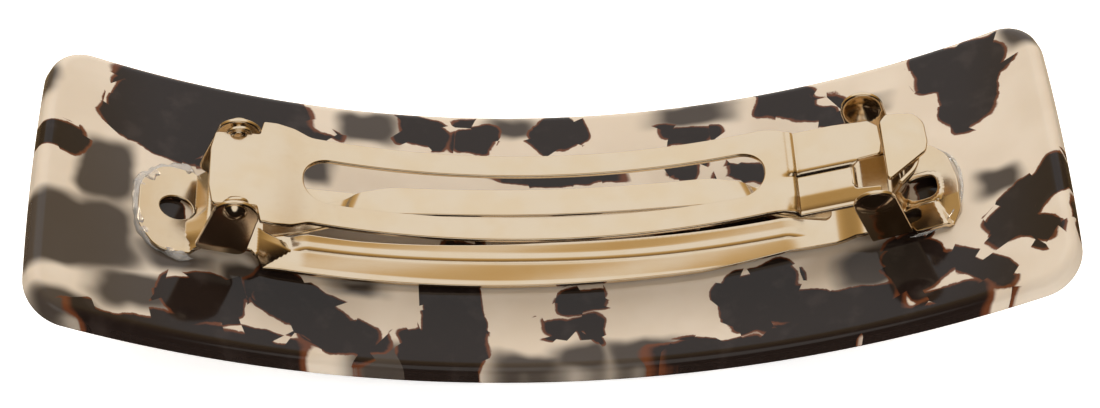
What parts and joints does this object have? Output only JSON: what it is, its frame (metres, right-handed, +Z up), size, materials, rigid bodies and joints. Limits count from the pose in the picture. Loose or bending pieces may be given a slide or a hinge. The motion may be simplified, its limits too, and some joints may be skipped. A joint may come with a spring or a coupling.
{
  "type": "hair barrette",
  "caption": "Curved tortoise acetate barrette with a riveted French clip: hinged slotted arm, bowed tension bar and two squeeze-to-open release tabs.",
  "frame": {"origin": "under the middle of the plate, at the lowest point of its outer, convex face", "axes": "+X along the plate from the hinge end to the catch end, +Y across the plate, +Z up from the outer face towards the clip"},
  "size_m": [0.102, 0.033, 0.0186],
  "materials": {
    "acetate": "polished tortoise pattern, cream with dark brown patches",
    "plated_sheet": "pale gold plate, polished",
    "plated_spring": "pale gold plate, polished",
    "plated_rivet": "pale gold plate, polished",
    "clear_adhesive": "clear, glossy, uneven"
  },
  "bodies": {
    "base": {"plate": "acetate", "clip_base": "plated_sheet", "hinge_rivets": "plated_rivet", "glue_hinge_end": "clear_adhesive", "glue_catch_end": "clear_adhesive"},
    "arm": {"clasp_arm": "plated_sheet"},
    "bar": {"tension_bar": "plated_spring"},
    "tab_front": {"release_tab_front": "plated_sheet"},
    "tab_rear": {"release_tab_rear": "plated_sheet"}
  },
  "joints": [
    {"name": "arm_hinge", "type": "hinge", "parent": "base", "child": "arm", "pos_m": [-0.03049, -0.00145, 0.01729], "axis": [0, -1, 0], "range_deg": [0, 100]},
    {"name": "bar_flex", "type": "slide", "parent": "base", "child": "bar", "axis": [0, 0, -1], "range_m": [0, 0.002], "stiffness_N_per_m": 600, "deforming": ["tension_bar"]},
    {"name": "tab_front_squeeze", "type": "hinge", "parent": "base", "child": "tab_front", "pos_m": [0.03369, -0.00605, 0.00991], "axis": [-0.9346, 0, -0.3558], "range_deg": [0, 4], "stiffness_Nm_per_rad": 0.4},
    {"name": "tab_rear_squeeze", "type": "hinge", "parent": "base", "child": "tab_rear", "pos_m": [0.03369, 0.00315, 0.00991], "axis": [0.9346, 0, 0.3558], "range_deg": [0, 4], "stiffness_Nm_per_rad": 0.4}
  ]
}
